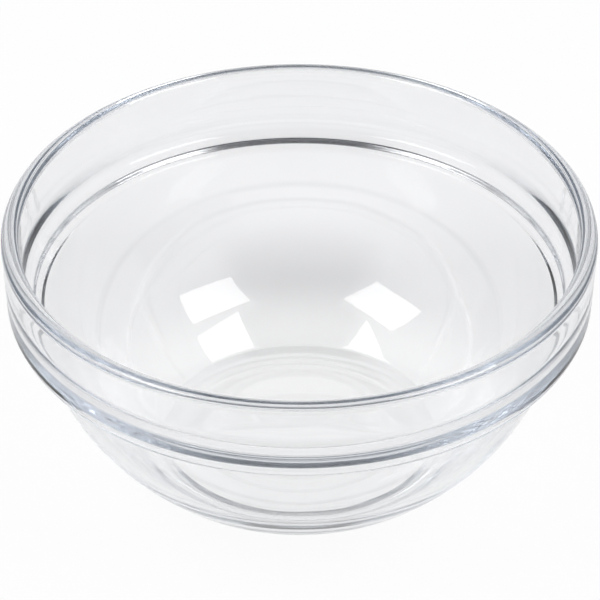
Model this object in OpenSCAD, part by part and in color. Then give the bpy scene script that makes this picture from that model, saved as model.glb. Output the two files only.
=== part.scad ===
// Clear glass prep bowl, pressed in one piece, with a rounded lip, a stacking collar, a steep inner ledge,
// a ball-shaped body and a flat base. The origin is at the middle of the base, on the table.

/* [Overall] */
// Outside diameter over the lip
bowl_d = 140; // [132:1:152]
// Height from the table to the top of the lip
bowl_h = 66; // [62:0.5:71]

/* [Lip and collar] */
// Thickness of the rounded lip
lip_t = 4.2; // [3.4:0.1:5]
// Height from the underside of the shoulder to the top of the lip
collar_h = 21.5; // [19:0.1:24]
// Draft of the collar's outside, in degrees
collar_draft = 1.7; // [0.4:0.1:2.5]
// Rounding of the collar's lower edge
shoulder_r = 3.9; // [2:0.1:4.6]
// Step from the lip's outside in to the ball of the body
shoulder_w = 5.7; // [5.2:0.1:6.4]
// Fillet under the shoulder
shoulder_fillet_r = 2; // [0.6:0.1:3]

/* [Ledge] */
// Draft of the collar's inside, in degrees
bore_draft = 0.3; // [0.1:0.1:2]
// Sweep of the collar's inside down into the ledge
ledge_sweep_r = 9.6; // [6:0.1:10.4]
// Depth below the lip at which that sweep starts
ledge_sweep_depth = 10.6; // [8:0.1:12]
// Rounding of the ledge's lower edge
ledge_edge_r = 1.2; // [0.5:0.1:2]
// Depth below the lip of the middle of that rounding
ledge_edge_depth = 21.4; // [20.4:0.1:24]

/* [Body] */
// Diameter at which the ball of the body meets the table
base_d = 71; // [63:0.5:78]
// Rounding of the base's edge
base_edge_r = 1.5; // [1:0.1:4]
// Wall of the body
wall_t = 2.9; // [2.4:0.1:3.8]
// Glass under the floor
floor_t = 3; // [2.6:0.1:5]
// Rounding between the floor and the inside wall
floor_edge_r = 38; // [14:0.5:42]

/* [Hidden] */
$fn = 240;
// Rounds stand this proud of the faces beside them, so that each arc crosses its neighbour cleanly
proud = 0.004;
lip_r = lip_t / 2;
lip_at = [bowl_d / 2 - lip_r, bowl_h - lip_r];
body_r = bowl_d / 2 - shoulder_w;
hollow_r = body_r - wall_t;
ball_at = [0, sqrt(pow(body_r, 2) - pow(base_d / 2, 2))];
shoulder_z = bowl_h - collar_h;

// Unit step in the direction of an angle
function toward(angle) = [cos(angle), sin(angle)];

// Point where a wall of this draft leaves the lip's round, outside (side 1) or inside (side -1)
function lip_point(side, draft) = lip_at + side * (lip_r - proud) * toward(-draft);

// Middle of a round of radius r at height z whose outer side runs up into such a wall
function round_at(side, draft, r, z) =
    let (top = lip_point(side, draft)) [top.x - (top.y - z) * tan(draft) - (r - proud) / cos(draft), z];

// Point of such a round at which the wall leaves it
function wall_foot(middle, r, draft) = middle + (r - proud) * toward(-draft);

// Point at height z and at a distance from the middle of the ball
function off_ball(distance, z) = [sqrt(pow(distance, 2) - pow(ball_at.y - z, 2)), z];

// Point of a ball of radius r that lies straight between its middle and a point
function on_ball(r, point) = ball_at + (point - ball_at) * r / norm(point - ball_at);

// The ledge is the straight line that leaves its sweep and meets the rounding of its lower edge
sweep_at = round_at(-1, bore_draft, ledge_sweep_r, bowl_h - ledge_sweep_depth);
edge_at = off_ball(hollow_r + ledge_edge_r - proud, bowl_h - ledge_edge_depth);
across = edge_at - sweep_at;
ledge_normal = atan2(across.y, across.x) + acos((ledge_sweep_r + ledge_edge_r - 2 * proud) / norm(across));
ledge_top = sweep_at + (ledge_sweep_r - proud) * toward(ledge_normal);
ledge_foot = edge_at - (ledge_edge_r - proud) * toward(ledge_normal);
// The line runs on until it has left the edge's rounding
ledge_end = ledge_foot + 2 * sqrt(2 * ledge_edge_r * proud) * toward(ledge_normal - 90);

// Ball with a flat bottom and a rounded bottom edge, up to height top_z
module ball(r, bottom_z, edge_r, top_z) {
    edge = off_ball(r - edge_r + proud, bottom_z + edge_r);
    meet = on_ball(r, edge);
    intersection() {
        translate(ball_at) circle(r);
        translate([0, meet.y]) square([r, top_z - meet.y]);
    }
    translate(edge) circle(edge_r);
    polygon([[0, bottom_z], [edge.x, bottom_z], meet, [0, meet.y]]);
}

// Corner between the ball and the face above it: filled out to the face's points, less a round that touches both
module corner(r, round_mid, round_r, face) {
    meet = on_ball(r, round_mid);
    difference() {
        polygon(concat([[0, meet.y], meet, round_mid], face, [[0, face[len(face) - 1].y]]));
        translate(round_mid) circle(round_r);
    }
}

// Collar: drafted outside with a rounded lower edge, up to the lip
module collar_outline() {
    foot = round_at(1, collar_draft, shoulder_r, shoulder_z + shoulder_r);
    outside = [[foot.x, shoulder_z], wall_foot(foot, shoulder_r, collar_draft), lip_point(1, collar_draft)];
    inside = lip_point(-1, bore_draft);
    translate(foot) circle(shoulder_r);
    polygon(concat([[0, shoulder_z]], outside, [lip_at, inside, [0, inside.y]]));
}

// Hollow inside the collar, down to the end of the ledge
module bore_outline() {
    inside = lip_point(-1, bore_draft);
    wall = [wall_foot(sweep_at, ledge_sweep_r, bore_draft), inside, [inside.x, bowl_h]];
    translate(sweep_at) circle(ledge_sweep_r);
    polygon(concat([[0, ledge_end.y], ledge_end, ledge_top], wall, [[0, bowl_h]]));
}

// Everything inside the outer surface, up to the lip
module outer_outline() {
    under = off_ball(body_r + shoulder_fillet_r - proud, shoulder_z - shoulder_fillet_r + proud);
    collar_outline();
    ball(body_r, 0, base_edge_r, shoulder_z);
    corner(body_r, under, shoulder_fillet_r, [[under.x, shoulder_z]]);
}

// The hollow of the bowl, open at the top
module inner_outline() {
    bore_outline();
    ball(hollow_r, floor_t, floor_edge_r, ledge_end.y);
    corner(hollow_r, edge_at, ledge_edge_r, [ledge_foot, ledge_end]);
}

module bowl() {
    color([0.88, 0.94, 0.95, 0.35])
        rotate_extrude() {
            difference() {
                outer_outline();
                inner_outline();
            }
            translate(lip_at) rotate(-90) circle(lip_r);
        }
}

bowl();
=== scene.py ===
import math

import bmesh
import bpy
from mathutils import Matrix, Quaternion, Vector


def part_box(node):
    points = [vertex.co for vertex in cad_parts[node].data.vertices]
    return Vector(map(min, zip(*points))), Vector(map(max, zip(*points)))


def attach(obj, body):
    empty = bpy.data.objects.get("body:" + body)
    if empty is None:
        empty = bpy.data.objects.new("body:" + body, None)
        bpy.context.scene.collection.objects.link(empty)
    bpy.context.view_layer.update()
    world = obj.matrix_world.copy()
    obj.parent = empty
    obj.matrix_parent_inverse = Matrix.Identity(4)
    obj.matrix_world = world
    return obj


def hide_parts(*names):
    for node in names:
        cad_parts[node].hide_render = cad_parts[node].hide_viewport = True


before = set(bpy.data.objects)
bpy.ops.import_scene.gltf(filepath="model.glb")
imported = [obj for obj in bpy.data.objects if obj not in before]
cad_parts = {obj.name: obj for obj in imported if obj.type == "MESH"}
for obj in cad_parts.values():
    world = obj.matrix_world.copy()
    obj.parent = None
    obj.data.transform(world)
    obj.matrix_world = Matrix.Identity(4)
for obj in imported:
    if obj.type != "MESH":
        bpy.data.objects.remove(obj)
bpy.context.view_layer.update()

# Sizes of the glass, in millimetres, as in the part
MM = 0.001
BOWL_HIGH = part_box("bowl")[1]
BOWL_R = BOWL_HIGH[0] / MM
BOWL_H = BOWL_HIGH[2] / MM
LIP_T = 4.2
COLLAR_H = 21.5
COLLAR_DRAFT = 1.7
SHOULDER_R = 3.9
SHOULDER_W = 5.7
SHOULDER_FILLET_R = 2
BORE_DRAFT = 0.3
LEDGE_SWEEP_R = 9.6
LEDGE_SWEEP_DEPTH = 10.6
LEDGE_EDGE_R = 1.2
LEDGE_EDGE_DEPTH = 21.4
BASE_D = 71
BASE_EDGE_R = 1.5
WALL_T = 2.9
FLOOR_T = 3
FLOOR_EDGE_R = 38

# What follows from them: the ball of the body and of the hollow, the shoulder's height, the lip's round
BODY_R = BOWL_R - SHOULDER_W
HOLLOW_R = BODY_R - WALL_T
BALL_Z = math.sqrt(BODY_R ** 2 - (BASE_D / 2) ** 2)
SHOULDER_Z = BOWL_H - COLLAR_H
LIP_R = LIP_T / 2
LIP_AT = (BOWL_R - LIP_R, BOWL_H - LIP_R)

# Fineness of the turned mesh: steps around, then steps along the outline in millimetres
RING_STEPS = 256
ARC_STEP = 0.55
LINE_STEP = 2
SHORT_LINE_STEP = 0.5
ARC_STEPS_LEAST = 6
ARC_STEPS_PER_RADIAN = 14
SAME_POINT = 1e-4
ON_AXIS = 1e-6

# Photograph's view: image side in pixels, focal length in pixels, image column of the bowl's axis
IMAGE_PX = 600
FOCAL_PX = 2923.3
AXIS_PX = 299.4
SENSOR_MM = 36
CAMERA_DISTANCE = 0.7
CAMERA_ELEVATION = 36.96
CAMERA_TARGET_Z = 0.04272
CAMERA_CLIP_START = 0.01

# Studio: white table, two softboxes, white surround with dark gaps
TABLE_HALF = 0.8
TABLE_GAP = 0.0001
TABLE_PAINT = (0.90, 0.90, 0.905)
# Share of the table's white glow in what the camera sees of it: directly, then by way of the glass,
# where the share falls from under the base to around it (radius in metres and share): painted light under the
# base, painted shade around it
TABLE_GLOW = 0.94
PAINTED_LIGHT_UNDER_BASE = (0.040, 0.86)
PAINTED_SHADE_AROUND_BASE = (0.070, 0.36)
# Each softbox: azimuth, elevation and roll in degrees
SOFTBOXES = {"left": (-110, 55, 7), "right": (114, 51, -21)}
SOFTBOX_DISTANCE = 1.0
SOFTBOX_SIZE = (0.47, 0.37)
SOFTBOX_POWER = 2.6
# What the glass shows of the surround, and what the camera itself sees of it
SURROUND = (0.95, 0.95, 0.96)
BACKGROUND = (1, 1, 1)

# Each gap: middle of its azimuth (0 is straight behind the bowl, 90 to its right), half its width,
# elevation from, to, softness of its edge, all in degrees, then its colour
GAPS = {
    "below_table": (0, 190, -100, 0, 1, (0.17, 0.18, 0.20)),
    "overhead": (0, 190, 68, 110, 8, (0.01, 0.01, 0.015)),
    "above_camera": (180, 40, 44, 110, 8, (0.02, 0.02, 0.025)),
    "camera_side": (180, 40, 22, 50, 20, (0.18, 0.18, 0.19)),
    "left_of_backdrop": (-28, 17, 18, 62, 6, (0.58, 0.59, 0.62)),
    "right_of_backdrop": (28, 17, 18, 62, 6, (0.52, 0.53, 0.56)),
    "above_backdrop": (-1, 19, 40, 66, 4, (0.002, 0.002, 0.003)),
    "top_of_backdrop": (-1, 29, 64, 110, 4, (0.002, 0.002, 0.003)),
    "ceiling_strip": (180, 22, 54, 110, 6, (0.002, 0.002, 0.003)),
    "foot_of_backdrop": (1, 15, -1, 9, 4, (0.05, 0.05, 0.06)),
    "low_left": (-65, 12, -1, 12, 4, (0.70, 0.71, 0.74)),
    "low_right": (125, 25, -1, 12, 6, (0.65, 0.66, 0.69)),
}

# Pressed glass: depth tint, and the faint waves and haze that a mould leaves
GLASS_IOR = 1.52
GLASS_COLOUR = (0.996, 0.997, 0.998)
GLASS_DEPTH_COLOUR = (0.28, 0.36, 0.46)
GLASS_DEPTH_DENSITY = 6
GLASS_WAVE_SCALE = 42
GLASS_WAVE_DETAIL = 1
GLASS_WAVE_HEIGHT = 0.0004
GLASS_WAVE_STRENGTH = 0.3
GLASS_HAZE_SCALE = 18
GLASS_HAZE_DETAIL = 3
GLASS_HAZE = (0.0, 0.012)

# Light that bounces on in the glass for longer than this ends there, which darkens the lines of trapped light
LIGHT_BOUNCES = 44
MIRROR_BOUNCES = 36


class Outline:
    """Half outline of a turned shape: points of radius and height in millimetres."""

    def __init__(self):
        self.points = []

    def to(self, radius, height):
        """Next point, unless it falls on the last one."""
        if not self.points or math.dist((radius, height), self.points[-1]) > SAME_POINT:
            self.points.append((radius, height))

    def arc(self, centre, radius, start, end):
        """Round stretch about a centre, from one angle to another in radians."""
        span = abs(end - start)
        count = max(ARC_STEPS_LEAST, math.ceil(span * radius / ARC_STEP), math.ceil(span * ARC_STEPS_PER_RADIAN))
        for step in range(count + 1):
            angle = start + (end - start) * step / count
            self.to(centre[0] + radius * math.cos(angle), centre[1] + radius * math.sin(angle))

    def line(self, radius, height, pitch=LINE_STEP):
        """Straight stretch from the last point, cut into short pieces."""
        from_radius, from_height = self.points[-1]
        count = max(1, math.ceil(math.dist((radius, height), self.points[-1]) / pitch))
        for step in range(1, count + 1):
            share = step / count
            self.to(from_radius + (radius - from_radius) * share, from_height + (height - from_height) * share)


def off_ball(distance, height):
    """Point at a height and at a distance from the middle of the ball."""
    return math.sqrt(distance ** 2 - (BALL_Z - height) ** 2), height


def angle_from_ball(point):
    return math.atan2(point[1] - BALL_Z, point[0])


def draw_body(outline):
    """Base, its rounded edge, the outside of the ball and the fillet under the shoulder."""
    base_edge = off_ball(BODY_R - BASE_EDGE_R, BASE_EDGE_R)
    fillet = off_ball(BODY_R + SHOULDER_FILLET_R, SHOULDER_Z - SHOULDER_FILLET_R)
    outline.to(0, 0)
    outline.line(base_edge[0], 0)
    outline.arc(base_edge, BASE_EDGE_R, -math.pi / 2, angle_from_ball(base_edge))
    outline.arc((0, BALL_Z), BODY_R, angle_from_ball(base_edge), angle_from_ball(fillet))
    outline.arc(fillet, SHOULDER_FILLET_R, math.pi + angle_from_ball(fillet), math.pi / 2)


def draw_collar(outline):
    """Shoulder, its rounded edge, the outside of the collar and the lip."""
    draft = math.radians(COLLAR_DRAFT)
    top_r = LIP_AT[0] + LIP_R * math.cos(draft)
    top_z = LIP_AT[1] - LIP_R * math.sin(draft)
    foot_z = SHOULDER_Z + SHOULDER_R
    foot_r = top_r - (top_z - foot_z) * math.tan(draft) - SHOULDER_R / math.cos(draft)
    outline.line(foot_r, SHOULDER_Z, SHORT_LINE_STEP)
    outline.arc((foot_r, foot_z), SHOULDER_R, -math.pi / 2, -draft)
    outline.line(top_r, top_z)
    outline.arc(LIP_AT, LIP_R, -draft, math.pi - math.radians(BORE_DRAFT))


def draw_ledge(outline, edge_at):
    """Inside of the collar, its sweep into the ledge, the ledge and the rounding of its lower edge."""
    draft = math.radians(BORE_DRAFT)
    top_r, top_z = outline.points[-1]
    sweep_z = BOWL_H - LEDGE_SWEEP_DEPTH
    sweep_r = top_r - (top_z - sweep_z) * math.tan(draft) - LEDGE_SWEEP_R / math.cos(draft)
    across = (edge_at[0] - sweep_r, edge_at[1] - sweep_z)
    turn = math.acos((LEDGE_SWEEP_R + LEDGE_EDGE_R) / math.hypot(*across))
    slope = math.atan2(across[1], across[0]) + turn
    foot_r = edge_at[0] - LEDGE_EDGE_R * math.cos(slope)
    foot_z = edge_at[1] - LEDGE_EDGE_R * math.sin(slope)
    outline.line(sweep_r + LEDGE_SWEEP_R * math.cos(draft), sweep_z - LEDGE_SWEEP_R * math.sin(draft))
    outline.arc((sweep_r, sweep_z), LEDGE_SWEEP_R, -draft, slope)
    outline.line(foot_r, foot_z, SHORT_LINE_STEP)
    outline.arc(edge_at, LEDGE_EDGE_R, slope + math.pi, math.pi + angle_from_ball(edge_at))


def draw_hollow(outline, edge_at):
    """Inside of the ball below the ledge, its rounding into the floor and the floor."""
    floor_edge = off_ball(HOLLOW_R - FLOOR_EDGE_R, FLOOR_T + FLOOR_EDGE_R)
    outline.arc((0, BALL_Z), HOLLOW_R, angle_from_ball(edge_at), angle_from_ball(floor_edge))
    outline.arc(floor_edge, FLOOR_EDGE_R, angle_from_ball(floor_edge), -math.pi / 2)
    outline.line(0, FLOOR_T)


def bowl_outline():
    """Half outline of the glass, from the middle of the base to the middle of the inside floor."""
    ledge_edge_at = off_ball(HOLLOW_R + LEDGE_EDGE_R, BOWL_H - LEDGE_EDGE_DEPTH)
    outline = Outline()
    draw_body(outline)
    draw_collar(outline)
    draw_ledge(outline, ledge_edge_at)
    draw_hollow(outline, ledge_edge_at)
    return outline.points


def ring(bm, radius, height):
    """Vertices all round at one point of an outline, or a single one on the axis."""
    if radius < ON_AXIS:
        return [bm.verts.new((0, 0, height * MM))]
    reach = radius * MM
    turns = (2 * math.pi * step / RING_STEPS for step in range(RING_STEPS))
    return [bm.verts.new((reach * math.cos(turn), reach * math.sin(turn), height * MM)) for turn in turns]


def turned_mesh(name, points):
    """Closed mesh of a half outline turned about the upright axis."""
    bm = bmesh.new()
    rings = [ring(bm, radius, height) for radius, height in points]
    for below, above in zip(rings, rings[1:]):
        for step in range(RING_STEPS):
            after = (step + 1) % RING_STEPS
            if len(below) == 1:
                bm.faces.new((below[0], above[after], above[step]))
            elif len(above) == 1:
                bm.faces.new((below[step], below[after], above[0]))
            else:
                bm.faces.new((below[step], below[after], above[after], above[step]))
    bmesh.ops.recalc_face_normals(bm, faces=bm.faces)
    mesh = bpy.data.meshes.new(name)
    bm.to_mesh(mesh)
    bm.free()
    for face in mesh.polygons:
        face.use_smooth = True
    return mesh


class Graph:
    """Short forms for adding and joining shader nodes."""

    def __init__(self, tree):
        self.tree = tree
        tree.nodes.clear()

    def add(self, kind, **settings):
        node = self.tree.nodes.new(kind)
        for name, value in settings.items():
            setattr(node, name, value)
        return node

    def join(self, source, target):
        self.tree.links.new(source, target)

    def feed(self, socket, value):
        if isinstance(value, bpy.types.NodeSocket):
            self.join(value, socket)
        else:
            socket.default_value = value

    def math(self, operation, *values):
        node = self.add("ShaderNodeMath", operation=operation)
        for socket, value in zip(node.inputs, values):
            self.feed(socket, value)
        return node.outputs[0]

    def smooth(self, value, start, end):
        """0 below start, 1 above end, eased between them."""
        node = self.add("ShaderNodeMapRange", interpolation_type="SMOOTHSTEP")
        self.feed(node.inputs["Value"], value)
        node.inputs["From Min"].default_value = start
        node.inputs["From Max"].default_value = end
        return node.outputs["Result"]

    def noise(self, place, scale, detail):
        node = self.add("ShaderNodeTexNoise")
        self.join(place, node.inputs["Vector"])
        node.inputs["Scale"].default_value = scale
        node.inputs["Detail"].default_value = detail
        return node.outputs[0]

    def mix_colour(self, share, first, second):
        """Mix by the node's colour sockets, which are its inputs 6 and 7 and its output 2."""
        node = self.add("ShaderNodeMix", data_type="RGBA")
        self.feed(node.inputs["Factor"], share)
        self.feed(node.inputs[6], first)
        self.feed(node.inputs[7], second)
        return node.outputs[2]


def glass_material():
    """Clear glass, faintly cool in depth, with the slight waves and uneven polish of a pressed surface."""
    material = bpy.data.materials.new("clear_glass")
    material.use_nodes = True
    graph = Graph(material.node_tree)
    output = graph.add("ShaderNodeOutputMaterial")
    shader = graph.add("ShaderNodeBsdfPrincipled")
    shader.inputs["Base Color"].default_value = (*GLASS_COLOUR, 1)
    shader.inputs["Transmission Weight"].default_value = 1
    shader.inputs["IOR"].default_value = GLASS_IOR
    graph.join(shader.outputs[0], output.inputs["Surface"])

    place = graph.add("ShaderNodeTexCoord").outputs["Object"]
    haze = graph.add("ShaderNodeMapRange")
    graph.join(graph.noise(place, GLASS_HAZE_SCALE, GLASS_HAZE_DETAIL), haze.inputs["Value"])
    haze.inputs["To Min"].default_value, haze.inputs["To Max"].default_value = GLASS_HAZE
    graph.join(haze.outputs["Result"], shader.inputs["Roughness"])

    waves = graph.add("ShaderNodeBump")
    waves.inputs["Strength"].default_value = GLASS_WAVE_STRENGTH
    waves.inputs["Distance"].default_value = GLASS_WAVE_HEIGHT
    graph.join(graph.noise(place, GLASS_WAVE_SCALE, GLASS_WAVE_DETAIL), waves.inputs["Height"])
    graph.join(waves.outputs["Normal"], shader.inputs["Normal"])

    depth = graph.add("ShaderNodeVolumeAbsorption")
    depth.inputs["Color"].default_value = (*GLASS_DEPTH_COLOUR, 1)
    depth.inputs["Density"].default_value = GLASS_DEPTH_DENSITY
    graph.join(depth.outputs[0], output.inputs["Volume"])
    return material


def glow_share(graph):
    """Share of the table's white glow: fixed where seen directly, falling with the radius by way of the glass,
    as painted light under the base and painted shade around it.
    """
    path = graph.add("ShaderNodeLightPath")
    direct = graph.math("MULTIPLY", path.outputs["Is Camera Ray"], TABLE_GLOW)
    in_glass = graph.math("MAXIMUM", path.outputs["Is Glossy Ray"], path.outputs["Is Transmission Ray"])
    away = graph.add("ShaderNodeVectorMath", operation="LENGTH")
    graph.join(graph.add("ShaderNodeTexCoord").outputs["Object"], away.inputs[0])
    # Painted light and shade: by way of the glass the glow is strong under the base and weak in the ring around
    # it
    falling = graph.add("ShaderNodeMapRange", interpolation_type="SMOOTHSTEP")
    graph.join(away.outputs["Value"], falling.inputs["Value"])
    falling.inputs["From Min"].default_value, falling.inputs["To Min"].default_value = PAINTED_LIGHT_UNDER_BASE
    falling.inputs["From Max"].default_value, falling.inputs["To Max"].default_value = PAINTED_SHADE_AROUND_BASE
    return graph.math("MAXIMUM", direct, graph.math("MULTIPLY", in_glass, falling.outputs["Result"]))


def table_material():
    """White paint, with the table's white glow mixed in where the camera sees it, by way of the glass as painted
    light under the base and painted shade around it.
    """
    material = bpy.data.materials.new("white_table")
    material.use_nodes = True
    graph = Graph(material.node_tree)
    output = graph.add("ShaderNodeOutputMaterial")
    paint = graph.add("ShaderNodeBsdfDiffuse")
    paint.inputs["Color"].default_value = (*TABLE_PAINT, 1)
    glow = graph.add("ShaderNodeEmission")
    glow.inputs["Strength"].default_value = 1
    mix = graph.add("ShaderNodeMixShader")
    graph.join(glow_share(graph), mix.inputs[0])
    graph.join(paint.outputs[0], mix.inputs[1])
    graph.join(glow.outputs[0], mix.inputs[2])
    graph.join(mix.outputs[0], output.inputs["Surface"])
    return material


def build_table():
    sides = ((-1, -1), (1, -1), (1, 1), (-1, 1))
    corners = [(x * TABLE_HALF, y * TABLE_HALF, -TABLE_GAP) for x, y in sides]
    mesh = bpy.data.meshes.new("table")
    mesh.from_pydata(corners, [], [(0, 1, 2, 3)])
    mesh.materials.append(table_material())
    table = bpy.data.objects.new("table", mesh)
    bpy.context.collection.objects.link(table)


def surround_colour(graph):
    """White all round, with the dark gaps that give glass its dark lines."""
    parts = graph.add("ShaderNodeSeparateXYZ")
    graph.join(graph.add("ShaderNodeTexCoord").outputs["Generated"], parts.inputs[0])
    x, y, z = parts.outputs
    azimuth = graph.math("DEGREES", graph.math("ARCTAN2", x, y))
    elevation = graph.math("DEGREES", graph.math("ARCSINE", z))
    colour = (*SURROUND, 1)
    for middle, half, low, high, soft, gap_colour in GAPS.values():
        turn = graph.math("WRAP", graph.math("SUBTRACT", azimuth, middle), 180, -180)
        share = graph.smooth(graph.math("ABSOLUTE", turn), half + soft / 2, half - soft / 2)
        share = graph.math("MULTIPLY", share, graph.smooth(elevation, low - soft / 2, low + soft / 2))
        share = graph.math("MULTIPLY", share, graph.smooth(elevation, high + soft / 2, high - soft / 2))
        colour = graph.mix_colour(share, colour, (*gap_colour, 1))
    return colour


def build_surround():
    """The surround lights the bowl and shows in the glass; the camera itself sees a plain background."""
    world = bpy.data.worlds.new("studio")
    bpy.context.scene.world = world
    world.use_nodes = True
    graph = Graph(world.node_tree)
    output = graph.add("ShaderNodeOutputWorld")
    light = graph.add("ShaderNodeBackground")
    graph.join(light.outputs[0], output.inputs["Surface"])
    path = graph.add("ShaderNodeLightPath")
    seen = graph.mix_colour(path.outputs["Is Camera Ray"], surround_colour(graph), (*BACKGROUND, 1))
    graph.join(seen, light.inputs["Color"])


def build_softboxes():
    """Each faces the middle of the base, turned about that line by its roll; the camera does not see them."""
    for name, (azimuth, elevation, roll) in SOFTBOXES.items():
        azimuth, elevation, roll = (math.radians(angle) for angle in (azimuth, elevation, roll))
        flat = math.cos(elevation)
        toward = Vector((math.sin(azimuth) * flat, math.cos(azimuth) * flat, math.sin(elevation)))
        lamp = bpy.data.lights.new(name + "_softbox", "AREA")
        lamp.shape = "RECTANGLE"
        lamp.size, lamp.size_y = SOFTBOX_SIZE
        lamp.energy = SOFTBOX_POWER
        softbox = bpy.data.objects.new(name + "_softbox", lamp)
        softbox.location = toward * SOFTBOX_DISTANCE
        facing = (-toward).to_track_quat("-Z", "Y") @ Quaternion((0, 0, 1), roll)
        softbox.rotation_euler = facing.to_euler()
        softbox.visible_camera = False
        bpy.context.collection.objects.link(softbox)


def build_camera():
    elevation = math.radians(CAMERA_ELEVATION)
    view = bpy.data.cameras.new("camera")
    view.sensor_width = SENSOR_MM
    view.lens = FOCAL_PX / IMAGE_PX * SENSOR_MM
    view.shift_x = (IMAGE_PX / 2 - AXIS_PX) / IMAGE_PX
    view.clip_start = CAMERA_CLIP_START
    camera = bpy.data.objects.new("camera", view)
    out = Vector((0, -math.cos(elevation), math.sin(elevation))) * CAMERA_DISTANCE
    camera.location = Vector((0, 0, CAMERA_TARGET_Z)) + out
    camera.rotation_euler = (math.pi / 2 - elevation, 0, 0)
    bpy.context.collection.objects.link(camera)
    bpy.context.scene.camera = camera


def build_bowl():
    mesh = turned_mesh("glass_bowl", bowl_outline())
    mesh.materials.append(glass_material())
    piece = bpy.data.objects.new("glass_bowl", mesh)
    bpy.context.collection.objects.link(piece)
    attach(piece, "root")
    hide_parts("bowl")


build_bowl()
build_table()
build_surround()
build_softboxes()
build_camera()

scene = bpy.context.scene
scene.view_settings.view_transform = "Standard"
scene.cycles.max_bounces = LIGHT_BOUNCES
scene.cycles.transmission_bounces = LIGHT_BOUNCES
scene.cycles.glossy_bounces = MIRROR_BOUNCES
